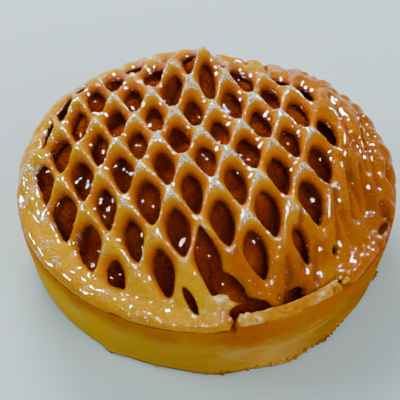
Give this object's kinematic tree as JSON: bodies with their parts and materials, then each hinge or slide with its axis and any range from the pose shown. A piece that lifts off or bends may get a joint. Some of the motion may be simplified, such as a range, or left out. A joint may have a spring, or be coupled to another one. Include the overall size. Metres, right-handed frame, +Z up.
{
  "type": "apple pie",
  "caption": "Round raised apple pie: a straight-sided pastry case, dark cooked-apple filling and a domed, glazed lattice lid torn open at the front.",
  "frame": {"origin": "middle of the pie's underside, which rests on the surface below", "axes": "+Z up through the lid, -Y towards the torn front of the lid"},
  "size_m": [0.136, 0.136, 0.0588],
  "materials": {
    "shortcrust": "matt pale shortcrust, browned at the foot",
    "cooked_apple": "wet, dark caramelised apple",
    "glazed_crust": "golden crust under a shiny egg glaze"
  },
  "bodies": {
    "root": {"crust_case": "shortcrust", "apple_filling": "cooked_apple", "lattice_lid": "glazed_crust"}
  },
  "joints": []
}
